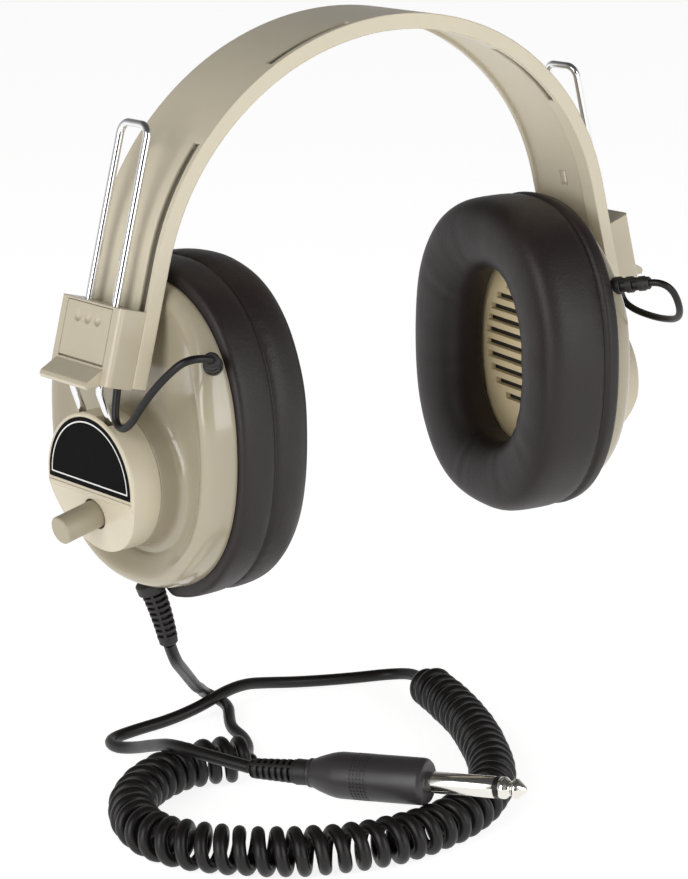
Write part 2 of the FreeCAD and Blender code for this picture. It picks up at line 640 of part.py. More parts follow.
def main():
    save("headband", headband())
    save("band_cable", band_cable())
    rh = housing()
    save("slider_housing_r", rh)
    save("slider_housing_l", mirror(rh))
    plate = cover_plate()
    save("slider_plate_r", plate)
    save("slider_plate_l", mirror(plate))
    spring = friction_spring()
    save("friction_springs", Part.makeCompound([spring, mirror(spring)]))
    screws = housing_screws()
    save("housing_screws", Part.makeCompound(screws + [mirror(s) for s in screws]))
    save("wire_yoke_r", yoke(False))
    save("wire_yoke_l", mirror(yoke(True)))
    caps = {}
    for side in ("r", "l"):
        left = side == "l"
        put = mirror if left else turned
        save("ear_shell_" + side, put(shell(left)))
        top = cap(left)
        for p in bearing_posts():
            top = top.fuse(p)
        top = top.removeSplitter()
        caps[side] = top
        save("boss_cap_" + side, put(top))
        save("label_plate_" + side, put(label_shape(19.7, -124.8, 106.35, 106.95)))
        save("pivot_bearing_" + side, put(bearing().cut(top)))
        save("bearing_screws_" + side, Part.makeCompound([put(s) for s in bearing_screws()]))
        save("ear_cushion_" + side, put(cushion(left)))
        save("baffle_" + side, put(baffle()))
        save("baffle_screws_" + side, Part.makeCompound([put(s) for s in baffle_screws()]))
        save("acoustic_felt_" + side, put(acoustic_felt()))
        save("driver_frame_" + side, put(driver_frame()))
        save("driver_magnet_" + side, put(driver_magnet()))
        save("driver_cone_" + side, put(driver_cone()))
        save("jumper_relief_" + side, put(jumper_relief(left)))
        save("jumper_cable_" + side, mirror(jumper(left)) if left else jumper(left))
    # volume control, left cup only
    bracket = rod(kpt(-3.2), kpt(-2.2), 7.4).cut(rod(kpt(-4), kpt(0), 4.8))
    save("pot_bracket", mirror(bracket.cut(caps["l"])))
    pot = fuse([rod(kpt(-7.4), kpt(-3.2), 6.2), rod(kpt(-3.3), kpt(-1.4), 3.9)])
    pot = pot.cut(rod(kpt(-6.4), kpt(0), 1.55))
    save("volume_pot", mirror(pot))
    save("pot_shaft", mirror(rod(kpt(-6.2), kpt(8.0), 1.5)))
    knob = rod(kpt(-0.9), kpt(13.0), KNOB_R).cut(rod(kpt(-1.5), kpt(8.0), 1.5))
    edge = [e for e in knob.Edges if abs(e.Length - 2 * math.pi * KNOB_R) < 0.5]
    edge.sort(key=lambda e: -e.CenterOfMass.x)
    knob = knob.makeFillet(0.6, edge[:1])
    save("volume_knob", mirror(knob))
    # cord
    relief = ribbed(RELIEF_TOP.add(V(0, 0, -1.2)), RELIEF_END, 3.6, 2.6, 6, flange=4.6)
    relief = fuse([relief, rod(RELIEF_TOP, RELIEF_TOP.add(V(0, 0, -1.4)), 2.4)])
    save("cord_relief", relief)
    save("cord_lead", tube(LEAD, CORD_D / 2, show="lead"))
    save("cord_coil", tube(COIL, COIL_D / 2, show="coil"))
    save("cord_tail", tube(TAIL, CORD_D / 2, show="tail"))
    prelief, body, sleeve, ins, tip = plug_parts()
    save("plug_relief", prelief)
    save("plug_body", body)
    save("jack_sleeve", sleeve)
    save("jack_insulator", ins)
    save("jack_tip", tip)


main()
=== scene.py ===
# Wired headphones on a pale table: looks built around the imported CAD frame.
import math
import bpy
from mathutils import Matrix, Vector, noise


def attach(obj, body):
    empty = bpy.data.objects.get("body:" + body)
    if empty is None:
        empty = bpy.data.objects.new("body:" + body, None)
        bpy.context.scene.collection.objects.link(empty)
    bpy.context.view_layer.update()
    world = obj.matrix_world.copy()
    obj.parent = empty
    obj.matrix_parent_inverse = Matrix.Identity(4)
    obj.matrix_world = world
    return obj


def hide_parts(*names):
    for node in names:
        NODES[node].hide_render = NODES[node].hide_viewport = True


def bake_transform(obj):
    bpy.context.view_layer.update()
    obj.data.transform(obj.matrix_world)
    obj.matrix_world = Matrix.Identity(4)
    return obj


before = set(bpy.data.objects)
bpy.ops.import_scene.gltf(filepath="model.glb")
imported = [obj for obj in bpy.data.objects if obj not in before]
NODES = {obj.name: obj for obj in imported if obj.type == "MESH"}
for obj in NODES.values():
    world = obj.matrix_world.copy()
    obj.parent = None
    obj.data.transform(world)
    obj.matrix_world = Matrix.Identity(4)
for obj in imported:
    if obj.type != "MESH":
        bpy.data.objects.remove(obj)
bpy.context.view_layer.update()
MM = 0.001


def vec(x, y, z):
    return Vector((x, y, z)) * MM


def link(obj):
    bpy.context.scene.collection.objects.link(obj)
    return obj


# ---------------------------------------------------------------- camera
yaw, pitch, roll = math.radians(40.963), math.radians(-15.44), math.radians(-0.536)
ahead = Vector((math.sin(yaw) * math.cos(pitch), math.cos(yaw) * math.cos(pitch), math.sin(pitch)))
side = Vector((math.cos(yaw), -math.sin(yaw), 0))
above = side.cross(ahead)
side, above = side * math.cos(roll) + above * math.sin(roll), above * math.cos(roll) - side * math.sin(roll)
cam = bpy.data.cameras.new("camera")
cam.sensor_fit = "VERTICAL"
cam.sensor_height = 36
cam.lens = 2792.16 / 879 * 36
cam.clip_start = 0.05
cam.clip_end = 60
camera = link(bpy.data.objects.new("camera", cam))
place = Matrix((side, above, -ahead)).transposed().to_4x4()
place.translation = vec(-562.25, -637.82, 104.6)
camera.matrix_world = place
bpy.context.scene.camera = camera


# ---------------------------------------------------------------- materials
def material(name, color, rough, metal=0.0, coat=0.0, coat_rough=0.1, spec=0.5, sheen=0.0,
             vary=0.04, vary_scale=45.0, rough_vary=0.05, grain=0.0, grain_scale=900.0,
             wave=0.0, wave_scale=60.0, bevel=0.0, cells=0.0, cell_scale=900.0):
    mat = bpy.data.materials.new(name)
    mat.use_nodes = True
    nt = mat.node_tree
    bsdf = nt.nodes["Principled BSDF"]
    bsdf.inputs["Metallic"].default_value = metal
    bsdf.inputs["Specular IOR Level"].default_value = spec
    bsdf.inputs["Coat Weight"].default_value = coat
    bsdf.inputs["Coat Roughness"].default_value = coat_rough
    bsdf.inputs["Sheen Weight"].default_value = sheen
    tex = nt.nodes.new("ShaderNodeTexCoord")
    n1 = nt.nodes.new("ShaderNodeTexNoise")
    n1.inputs["Scale"].default_value = vary_scale
    n1.inputs["Detail"].default_value = 6
    nt.links.new(tex.outputs["Object"], n1.inputs["Vector"])
    ramp = nt.nodes.new("ShaderNodeValToRGB")
    ramp.color_ramp.elements[0].position = 0.3
    ramp.color_ramp.elements[1].position = 0.7
    ramp.color_ramp.elements[0].color = [c * (1 - vary) for c in color] + [1]
    ramp.color_ramp.elements[1].color = [min(1, c * (1 + vary)) for c in color] + [1]
    nt.links.new(n1.outputs["Fac"], ramp.inputs["Fac"])
    nt.links.new(ramp.outputs["Color"], bsdf.inputs["Base Color"])
    n2 = nt.nodes.new("ShaderNodeTexNoise")
    n2.inputs["Scale"].default_value = vary_scale * 3.1
    n2.inputs["Detail"].default_value = 4
    nt.links.new(tex.outputs["Object"], n2.inputs["Vector"])
    rng = nt.nodes.new("ShaderNodeMapRange")
    rng.inputs["To Min"].default_value = max(0.02, rough - rough_vary)
    rng.inputs["To Max"].default_value = rough + rough_vary
    nt.links.new(n2.outputs["Fac"], rng.inputs["Value"])
    nt.links.new(rng.outputs["Result"], bsdf.inputs["Roughness"])
    last = None
    if bevel:
        bev = nt.nodes.new("ShaderNodeBevel")
        bev.samples = 6
        bev.inputs["Radius"].default_value = bevel
        last = bev.outputs["Normal"]
    for amount, scale, kind in ((wave, wave_scale, "noise"), (grain, grain_scale, "noise"),
                                (cells, cell_scale, "cells")):
        if not amount:
            continue
        if kind == "noise":
            t = nt.nodes.new("ShaderNodeTexNoise")
            t.inputs["Detail"].default_value = 3
            out = t.outputs["Fac"]
        else:
            t = nt.nodes.new("ShaderNodeTexVoronoi")
            t.feature = "F1"
            out = t.outputs["Distance"]
        t.inputs["Scale"].default_value = scale
        nt.links.new(tex.outputs["Object"], t.inputs["Vector"])
        bump = nt.nodes.new("ShaderNodeBump")
        bump.inputs["Strength"].default_value = 1.0
        bump.inputs["Distance"].default_value = amount
        nt.links.new(out, bump.inputs["Height"])
        if last is not None:
            nt.links.new(last, bump.inputs["Normal"])
        last = bump.outputs["Normal"]
    if last is not None:
        nt.links.new(last, bsdf.inputs["Normal"])
    return mat


BEIGE = (0.560, 0.505, 0.385)
M = {
    "band": material("band_plastic", (0.655, 0.590, 0.450), 0.40, vary=0.02, grain=0.00002, grain_scale=1500, wave=0.00006,
                     wave_scale=40, bevel=0.0007),
    "case": material("case_plastic", (0.530, 0.470, 0.350), 0.33, coat=0.25, coat_rough=0.15, vary=0.02, wave=0.00004,
                     wave_scale=60, grain=0.000008, grain_scale=1400, bevel=0.0006),
    "shell": material("shell_plastic", (0.375, 0.330, 0.238), 0.20, coat=0.45, coat_rough=0.07, vary=0.02, wave=0.00006,
                      wave_scale=50, bevel=0.0004),
    "boss": material("boss_plastic", (0.60, 0.535, 0.405), 0.26, coat=0.2, coat_rough=0.12, vary=0.02, wave=0.00004,
                     wave_scale=60, bevel=0.0005),
    "knob": material("knob_plastic", (0.38, 0.335, 0.235), 0.42, vary=0.03, grain=0.00002, bevel=0.0005),
    # baffle: base colour raised about twofold above the beige plastic tone, painted light that brightens the baffle
    # where it lies in shade inside the cushion opening
    "baffle": material("baffle_plastic", (0.80, 0.66, 0.40), 0.45, vary=0.03, grain=0.00002, bevel=0.0004),
    "chrome": material("wire_chrome", (0.86, 0.86, 0.87), 0.09, metal=1.0, vary=0.01, rough_vary=0.03),
    "vinyl": material("cushion_vinyl", (0.0175, 0.0120, 0.0120), 0.48, vary=0.08, vary_scale=30, rough_vary=0.06,
                      spec=0.38, wave=0.0002, wave_scale=70, grain=0.00003, grain_scale=700,
                      cells=0.00004, cell_scale=1100),
    "cord": material("cord_black", (0.0065, 0.0052, 0.0050), 0.40, spec=0.35, vary=0.1, grain=0.00002, grain_scale=800,
                     rough_vary=0.06),
    "rubber": material("relief_rubber", (0.0125, 0.0105, 0.0105), 0.50, vary=0.1, grain=0.00003, grain_scale=900),
    "plug": material("plug_plastic", (0.034, 0.031, 0.032), 0.40, vary=0.08, grain=0.00002, grain_scale=1500),
    "jack": material("jack_metal", (0.80, 0.78, 0.72), 0.16, metal=1.0, vary=0.02, rough_vary=0.05),
    "label": material("label_black", (0.0030, 0.0028, 0.0030), 0.55, spec=0.05, vary=0.1, grain=0.00001),
    "line": material("label_white", (0.75, 0.75, 0.72), 0.4, vary=0.02),
    "steel": material("screw_steel", (0.55, 0.55, 0.54), 0.30, metal=1.0, vary=0.05),
    "ring": material("jack_ring_black", (0.010, 0.010, 0.010), 0.45, spec=0.3, vary=0.05),
    "dark": material("inner_plastic", (0.05, 0.05, 0.052), 0.45, vary=0.05, grain=0.00002),
    "spring": material("spring_steel", (0.45, 0.45, 0.46), 0.35, metal=1.0, vary=0.05),
    "felt": material("felt", (0.07, 0.07, 0.07), 0.95, vary=0.2, grain=0.0002, grain_scale=1500, spec=0.2),
    "magnet": material("magnet", (0.35, 0.35, 0.36), 0.30, metal=1.0, vary=0.08),
    "cone": material("cone", (0.03, 0.03, 0.03), 0.7, vary=0.15, grain=0.00005),
    "pot": material("pot_body", (0.05, 0.06, 0.10), 0.4, vary=0.05),
    "shaft": material("shaft_metal", (0.65, 0.65, 0.64), 0.28, metal=1.0, vary=0.03),
}

LOOK = {"headband": "band", "band_cable": "cord", "slider_housing": "case", "slider_plate": "case",
        "friction_springs": "spring", "housing_screws": "steel", "wire_yoke": "chrome", "ear_shell": "shell",
        "boss_cap": "boss", "label_plate": "label", "pivot_bearing": "dark", "bearing_screws": "steel",
        "ear_cushion": "vinyl", "baffle_screws": "steel", "baffle": "baffle", "acoustic_felt": "felt",
        "driver_frame": "dark", "driver_magnet": "magnet", "driver_cone": "cone", "jumper_relief": "rubber",
        "jumper_cable": "cord", "pot_bracket": "dark", "volume_pot": "pot", "pot_shaft": "shaft",
        "volume_knob": "knob", "cord_relief": "rubber", "cord_lead": "cord", "cord_coil": "cord",
        "cord_tail": "cord", "plug_relief": "rubber", "plug_body": "plug", "jack_sleeve": "jack",
        "jack_insulator": "ring", "jack_tip": "jack"}
for name, obj in NODES.items():
    key = name[:-2] if name[-2:] in ("_l", "_r") else name
    for sl in obj.material_slots:
        sl.material = M[LOOK[key]]
    if not obj.material_slots:
        obj.data.materials.append(M[LOOK[key]])


# ---------------------------------------------------------------- mesh helpers
def mesh_object(name, verts, faces, mat, smooth=35):
    me = bpy.data.meshes.new(name)
    me.from_pydata([tuple(v) for v in verts], [], faces)
    me.validate()
    me.materials.append(mat)
    for p in me.polygons:
        p.use_smooth = True
    if smooth:
        me.set_sharp_from_angle(angle=math.radians(smooth))
    return link(bpy.data.objects.new(name, me))


def grid_faces(rows, cols, close_rows=False, flip=False):
    faces = []
    for i in range(rows if close_rows else rows - 1):
        for j in range(cols):
            a = i * cols + j
            b = i * cols + (j + 1) % cols
            c = ((i + 1) % rows) * cols + (j + 1) % cols
            d = ((i + 1) % rows) * cols + j
            faces.append((a, d, c, b) if flip else (a, b, c, d))
    return faces


def fit_faces(obj):
    # all normals outwards
    import bmesh
    bm = bmesh.new()
    bm.from_mesh(obj.data)
    bmesh.ops.recalc_face_normals(bm, faces=bm.faces)
    bm.to_mesh(obj.data)
    bm.free()
    return obj


def frame_at(t):
    t = t.normalized()
    ref = Vector((0, 0, 1)) if abs(t.z) < 0.92 else Vector((0, 1, 0))
    u = ref.cross(t).normalized()
    return u, t.cross(u).normalized()


def turned(name, line, stations, mat, seg=40, smooth=35):
    """A round piece: line(s) gives the point and direction at s mm, stations are (s, radius) in mm."""
    verts, rows = [], 0
    u0 = None
    for s, r in stations:
        p, t = line(s)
        if u0 is None:
            u0, _ = frame_at(t)
        u = (u0 - t * u0.dot(t)).normalized()
        v = t.cross(u)
        for k in range(seg):
            a = 2 * math.pi * k / seg
            verts.append(p + (u * math.cos(a) + v * math.sin(a)) * r * MM)
        rows += 1
    faces = grid_faces(rows, seg)
    faces.append(tuple(range(seg))[::-1])
    faces.append(tuple(range((rows - 1) * seg, rows * seg)))
    return fit_faces(mesh_object(name, verts, faces, mat, smooth))


def straight(p, q):
    d = (q - p).normalized()
    return lambda s: (p + d * s * MM, d)


def route(name, pts):
    cu = bpy.data.curves.new(name, "CURVE")
    cu.dimensions = "3D"
    sp = cu.splines.new("NURBS")
    sp.points.add(len(pts) - 1)
    for q, c in zip(sp.points, pts):
        q.co = (c[0], c[1], c[2], 1)
    sp.order_u = 3
    sp.use_endpoint_u = True
    cu.resolution_u = 20
    return link(bpy.data.objects.new(name, cu))


def read_line(obj):
    me = bpy.data.meshes.new_from_object(obj)
    pts = [v.co.copy() for v in me.vertices]
    bpy.data.meshes.remove(me)
    out = [pts[0]]
    for p in pts[1:]:
        if (p - out[-1]).length > 1e-6:
            out.append(p)
    return out


def along(pts):
    """The line's length, and a function from distance (m) to point and direction."""
    dist = [0.0]
    for a, b in zip(pts[:-1], pts[1:]):
        dist.append(dist[-1] + (b - a).length)

    def at(s):
        s = min(max(s, 0.0), dist[-1])
        lo, hi = 0, len(dist) - 1
        while hi - lo > 1:
            mid = (lo + hi) // 2
            if dist[mid] <= s:
                lo = mid
            else:
                hi = mid
        f = (s - dist[lo]) / max(dist[hi] - dist[lo], 1e-9)
        d0 = (pts[min(hi + 1, len(pts) - 1)] - pts[lo]).normalized()
        d1 = (pts[hi] - pts[max(lo - 1, 0)]).normalized()
        return pts[lo].lerp(pts[hi], f), (d1.lerp(d0, f)).normalized()
    return dist[-1], at


def sweep(name, pts, radius, mat, seg=20, caps=True):
    """A tube of one radius (m) along points."""
    verts = []
    t = (pts[1] - pts[0]).normalized()
    u, _ = frame_at(t)
    for i, p in enumerate(pts):
        a = pts[max(i - 1, 0)]
        b = pts[min(i + 1, len(pts) - 1)]
        t = (b - a).normalized()
        u = (u - t * u.dot(t)).normalized()
        v = t.cross(u)
        for k in range(seg):
            ang = 2 * math.pi * k / seg
            verts.append(p + (u * math.cos(ang) + v * math.sin(ang)) * radius)
    faces = grid_faces(len(pts), seg)
    if caps:
        faces.append(tuple(range(seg))[::-1])
        faces.append(tuple(range((len(pts) - 1) * seg, len(pts) * seg)))
    return fit_faces(mesh_object(name, verts, faces, mat, 50))


# ---------------------------------------------------------------- cord
RELIEF_TOP = vec(-86.0, 0.4, -157.0)
RELIEF_END = vec(-80.6, -1.6, -178.5)
LEAD = [(-80.6, -1.6, -178.5), (-77.0, 0.5, -185.5), (-66.5, 11.0, -193.5), (-53.0, 24.5, -204.0),
        (-42.0, 35.5, -212.5), (-34.0, 43.5, -217.4), (-28.5, 49.0, -221.6), (-23.5, 46.0, -224.8),
        (-26.0, 39.0, -224.8), (-31.5, 32.0, -224.8), (-37.0, 24.0, -224.8), (-39.0, 15.5, -224.8),
        (-43.0, 8.0, -224.8), (-48.5, 2.0, -224.4), (-53.0, -5.5, -222.5)]
COIL = [(-56.5, -10.5, -219.5), (-68.0, -2.0, -219.5), (-88.0, -2.5, -219.5), (-108.0, -14.5, -219.5),
        (-117.5, -38.0, -219.5), (-107.0, -60.0, -219.5), (-88.0, -78.5, -219.5), (-62.0, -89.0, -219.5),
        (-34.0, -86.5, -219.5), (-12.0, -73.0, -219.5), (6.0, -48.0, -219.5), (20.0, -22.0, -219.5),
        (28.2, 2.5, -219.5)]
TAIL = [(34.0, 13.5, -221.0), (33.5, 25.0, -224.0), (21.0, 33.0, -224.8), (4.0, 39.5, -223.6),
        (-8.0, 41.8, -221.4), (-17.0, 41.6, -219.5), (-27.0, 40.2, -219.4), (-37.0, 39.2, -221.4),
        (-49.0, 40.6, -223.6), (-61.0, 43.6, -224.8), (-72.5, 42.6, -224.8), (-75.5, 35.0, -224.4),
        (-74.5, 25.5, -222.0), (-78.5, 11.0, -215.8), (-83.0, -5.0, -209.6), (-81.0, -18.0, -209.6),
        (-74.8, -33.5, -211.0)]
CORD_R = 1.95
COIL_MEAN_R = 5.3
TURNS = 54
PER_TURN = 14

coil_route = route("coil_route", [vec(*p) for p in COIL])
coil_line = read_line(coil_route)
bpy.data.objects.remove(coil_route)
coil_len, coil_at = along(coil_line)
helix = []
for i in range(TURNS * PER_TURN + 1):
    f = i / (TURNS * PER_TURN)
    wobble = 0.006 * math.sin(f * 41.0) + 0.004 * math.sin(f * 97.0 + 1.0)
    s = coil_len * min(max(f + 0.10 * wobble, 0.0), 1.0)
    p, t = coil_at(s)
    turn = 2 * math.pi * i / PER_TURN + 2.4
    grow = min(1.0, i / (0.7 * PER_TURN), (TURNS * PER_TURN - i) / (0.7 * PER_TURN))
    r = COIL_MEAN_R / math.cos(math.pi / PER_TURN) * (0.25 + 0.75 * grow)
    r *= 1 + 0.012 * math.sin(f * 63.0) - 0.010 * math.sin(f * 151.0 + 2.0)
    z = Vector((0, 0, 1))
    b = t.cross(z).normalized()
    helix.append(p + (z * math.cos(turn) + b * math.sin(turn)) * r * MM)
points = [vec(*p) for p in LEAD] + helix + [vec(*p) for p in TAIL]
cord = route("cord", points)
cord_len, _ = along(read_line(cord))
print("cord length", round(cord_len, 4), "coil axis", round(coil_len, 4))
cord.data.bevel_depth = CORD_R * MM
cord.data.bevel_resolution = 6
cord.data.use_fill_caps = True
cord.data.resolution_u = 5
cord.data.materials.append(M["cord"])
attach(cord, "left_cup")
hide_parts("cord_lead", "cord_coil", "cord_tail")


# ---------------------------------------------------------------- ribbed strain reliefs
def relief(name, ends, collar, rings, r0, r1, body, node, spines=4, bend=0.0, tail=2.0):
    p, q = ends
    length = (q - p).length / MM
    d = (q - p).normalized()
    off = Vector((0, 0, -1)) - d * d.dot(Vector((0, 0, -1)))
    off = off.normalized() if off.length > 1e-4 else Vector((0, 1, 0))

    def line(s):
        f = min(max(s / length, 0), 1)
        bow = bend * MM * 4 * f * (1 - f)
        slope = bend * 4 * (1 - 2 * f) / length
        return p + d * s * MM + off * bow, (d + off * slope).normalized()
    st = [(0, 0.4), (0, collar[0] - 0.4), (0.35, collar[0]), (collar[1] - 0.3, collar[0]),
          (collar[1], collar[0] - 0.35)] if collar else [(0, 0.4), (0, r0 * 0.9)]
    start = collar[1] if collar else 0.4
    pitch = (length - start - tail) / rings
    for k in range(rings):
        a = start + pitch * k
        f = (a - start) / (length - start)
        r = r0 + (r1 - r0) * f
        core = r * 0.66
        g = pitch * 0.44
        st += [(a + 0.02, core), (a + g, core), (a + g + 0.03, r - 0.18), (a + g + 0.2, r),
               (a + pitch - 0.22, r), (a + pitch - 0.03, r - 0.18)]
    st += [(length - tail + 0.02, r1), (length - 0.35, r1 - 0.05), (length, r1 - 0.4), (length, 0.4)]
    obj = turned(name, line, st, M["rubber"], seg=36, smooth=40)
    parts = []
    for k in range(spines):
        ang = 2 * math.pi * (k + 0.5) / spines
        verts = []
        n = 14
        for i in range(n):
            s = start + (length - start - tail * 0.6) * i / (n - 1)
            f = (s - start) / (length - start)
            r = (r0 + (r1 - r0) * f)
            c, t = line(s)
            u0, _ = frame_at(line(0)[1])
            u = (u0 - t * u0.dot(t)).normalized()
            v = t.cross(u)
            out = u * math.cos(ang) + v * math.sin(ang)
            wid = t.cross(out)
            for a, b in ((0.4, -0.5), (0.97, -0.42), (1.0, 0.0), (0.97, 0.42), (0.4, 0.5)):
                verts.append(c + (out * a * r + wid * b * 1.1) * MM)
        faces = []
        for i in range(n - 1):
            for j in range(5):
                faces.append((i * 5 + j, i * 5 + (j + 1) % 5, (i + 1) * 5 + (j + 1) % 5, (i + 1) * 5 + j))
        faces += [(0, 1, 2, 3, 4), tuple(range((n - 1) * 5, n * 5))[::-1]]
        sp = fit_faces(mesh_object(name + "_spine" + str(k), verts, faces, M["rubber"], 40))
        parts.append(sp)
        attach(sp, body)
    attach(obj, body)
    if node:
        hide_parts(node)
    return obj, parts


cord_relief, cord_spines = relief("cord_relief_sleeve", (RELIEF_TOP + vec(0, 0, -1.2), RELIEF_END), (4.5, 3.4), 8,
                                  3.7, 2.9, "left_cup", "cord_relief", bend=-0.5)

# ---------------------------------------------------------------- plug
PLUG_P = vec(-74.8, -33.5, -211.0)
PLUG_D = Vector((0.4135, -0.9066, 0.0839)).normalized()
REL_L, BODY_L, SLEEVE_L, JACK_L = 19.0, 38.0, 20.9, 30.5


def plug_line(s):
    return PLUG_P + PLUG_D * s * MM, PLUG_D


plug_relief, plug_spines = relief("plug_relief_sleeve", (PLUG_P, PLUG_P + PLUG_D * (REL_L + 0.1) * MM), None, 7,
                                  3.1, 3.9, "left_cup", "plug_relief", tail=4.2)
st = [(0, 0.5), (0, 4.1), (0.25, 4.35), (0.9, 4.35), (1.1, 4.2), (1.4, 4.3), (4.0, 5.35), (7.0, 6.3),
      (9.0, 6.75), (10.5, 6.92)]
for k in range(5):
    a = 15.6 + 1.1 * k
    st += [(a, 6.92), (a + 0.12, 6.72), (a + 0.55, 6.72), (a + 0.67, 6.92)]
st += [(21.8, 6.93), (28.0, 6.94), (36.3, 6.9), (37.2, 6.7), (37.8, 6.2), (38.0, 5.5), (38.0, 3.1), (37.6, 0.5)]
plug_body = turned("plug_shell", lambda s: plug_line(REL_L + s), st, M["plug"], seg=64, smooth=30)
# raised grip bars in the grooved band
bars_v, bars_f = [], []
u0, v0 = frame_at(PLUG_D)
for k in range(36):
    ang = 2 * math.pi * k / 36
    out = u0 * math.cos(ang) + v0 * math.sin(ang)
    wid = PLUG_D.cross(out)
    base = len(bars_v)
    for s in (15.5, 21.0):
        c = plug_line(REL_L + s)[0]
        for a, b in ((6.6, -0.28), (6.95, -0.2), (6.95, 0.2), (6.6, 0.28)):
            bars_v.append(c + (out * a + wid * b) * MM)
    for j in range(4):
        bars_f.append((base + j, base + (j + 1) % 4, base + 4 + (j + 1) % 4, base + 4 + j))
    bars_f += [(base, base + 1, base + 2, base + 3), (base + 7, base + 6, base + 5, base + 4)]
plug_bars = fit_faces(mesh_object("plug_grip", bars_v, bars_f, M["plug"], 30))
s0 = REL_L + BODY_L
sleeve = turned("jack_sleeve_turned", lambda s: plug_line(s0 + s),
                [(-0.3, 0.5), (-0.3, 3.1), (0, 3.175), (SLEEVE_L - 0.3, 3.175), (SLEEVE_L, 3.0), (SLEEVE_L, 0.5)],
                M["jack"], seg=64)
ins = turned("jack_insulator_turned", lambda s: plug_line(s0 + s),
             [(SLEEVE_L - 0.02, 0.5), (SLEEVE_L - 0.02, 3.12), (SLEEVE_L + 1.5, 3.12), (SLEEVE_L + 1.5, 0.5)],
             M["ring"], seg=48)
tip = turned("jack_tip_turned", lambda s: plug_line(s0 + s),
             [(22.3, 0.5), (22.3, 2.95), (22.55, 3.17), (24.0, 3.17), (24.3, 3.0), (24.9, 2.45), (25.4, 2.2),
              (25.8, 2.2), (26.3, 2.5), (26.9, 2.95), (27.4, 3.0), (27.9, 2.85), (28.6, 2.2), (29.4, 1.5),
              (30.1, 0.85), (30.45, 0.4), (30.5, 0.1)], M["jack"], seg=48, smooth=60)
for o, n, s in ((plug_body, "plug_body", "plug_plastic"), (sleeve, "jack_sleeve", "jack_metal"),
                (ins, "jack_insulator", "insulator"), (tip, "jack_tip", "jack_metal")):
    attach(o, "left_cup")
    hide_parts(n)
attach(plug_bars, "left_cup")


# ---------------------------------------------------------------- cups
CUP_Z, BOSS_Z, BOSS_R, OVAL_N = -111.6, -123.5, 21.1, 2.27
PIV = (99.8, -114.0)


def oval(x, w, h, count, z=CUP_Z):
    pts = []
    for i in range(count):
        a = 2 * math.pi * (i + 0.5) / count
        c, s = math.cos(a), math.sin(a)
        pts.append(vec(x, w / 2 * math.copysign(abs(c) ** (2 / OVAL_N), c),
                       z + h / 2 * math.copysign(abs(s) ** (2 / OVAL_N), s)))
    return pts


def ring(x, r, count, z=BOSS_Z):
    return [vec(x, r * math.cos(2 * math.pi * (i + 0.5) / count), z + r * math.sin(2 * math.pi * (i + 0.5) / count))
            for i in range(count)]


def mix(a, b, f):
    return [p.lerp(q, f) for p, q in zip(a, b)]


YAW = math.radians(-10)     # the right cup hangs turned about the upright line through its pivot, a little lower
SAG = -2.8


def yawed(p):
    dx = p.x - PIV[0] * MM
    return Vector((PIV[0] * MM + dx * math.cos(YAW) - p.y * math.sin(YAW), dx * math.sin(YAW) + p.y * math.cos(YAW),
                   p.z + SAG * MM))


def sided(pts, left):
    return [Vector((-p.x, p.y, p.z)) for p in pts] if left else [yawed(p) for p in pts]


def shell(left):
    n = 200
    w, h = 79.0, 92.9

    def lift(row, amount):
        # the side wall is deepest low down and falls away towards the band
        out = []
        for p in row:
            f = min(1.0, max(0.0, (-74.0 - p.z / MM) / 26.0))
            f = f * f * (3 - 2 * f)
            drop = min(1.0, max(0.0, (p.z / MM + 93.0) / 29.0))
            out.append(p + Vector((amount * f * (1.0 if left else 0.25) - 2.0 * drop * min(1.0, max(0.0, (p.x / MM - 85) / 4.0)), 0, 0)) * MM)
        return out
    rows = [oval(83.5, w + 1.0, h + 1.0, n), oval(83.7, w + 1.15, h + 1.15, n), lift(oval(84.6, w + 0.9, h + 0.9, n), 0.4),
            lift(oval(86.0, w + 0.3, h + 0.3, n), 1.4), lift(oval(87.2, w - 0.5, h - 0.5, n), 2.4),
            lift(oval(88.1, w - 1.5, h - 1.5, n), 3.0), lift(oval(88.8, w - 2.8, h - 2.8, n), 3.5),
            lift(oval(89.3, w - 4.4, h - 4.4, n), 3.8), lift(oval(89.55, w - 6.2, h - 6.2, n), 3.9),
            lift(oval(89.5, w - 8.2, h - 8.2, n), 3.8), lift(oval(89.3, w - 10.4, h - 10.4, n), 3.3),
            lift(oval(89.0, w - 13.0, h - 13.0, n), 2.5), lift(oval(88.7, w - 16.0, h - 16.0, n), 1.6)]
    edge = lift(oval(88.5, w - 19, h - 19, n), 0.9)
    foot = lift(ring(88.3, 24.4, n), 0.0)
    rows += [mix(edge, foot, f) for f in (0, 0.25, 0.5, 0.75, 1.0)]
    rows += [ring(88.5, 23.2, n), ring(89.0, 22.2, n), ring(89.8, 21.5, n), ring(91.0, BOSS_R, n),
             ring(96.35, BOSS_R, n), ring(96.6, BOSS_R - 0.28, n), ring(96.62, 18.8, n), ring(87.4, 18.8, n)]
    back = oval(86.1, w - 6, h - 6, n)
    rows += [mix(ring(86.2, 18.8, n), back, f) for f in (0.05, 0.5, 1.0)]
    rows += [oval(83.5, w - 5.6, h - 5.6, n)]
    verts = [v for row in rows for v in sided(row, left)]
    s = "l" if left else "r"
    obj = fit_faces(mesh_object("ear_shell_smooth_" + s, verts, grid_faces(len(rows), n, True), M["shell"], 40))
    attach(obj, "left_cup" if left else "right_cup")
    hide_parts("ear_shell_" + s)


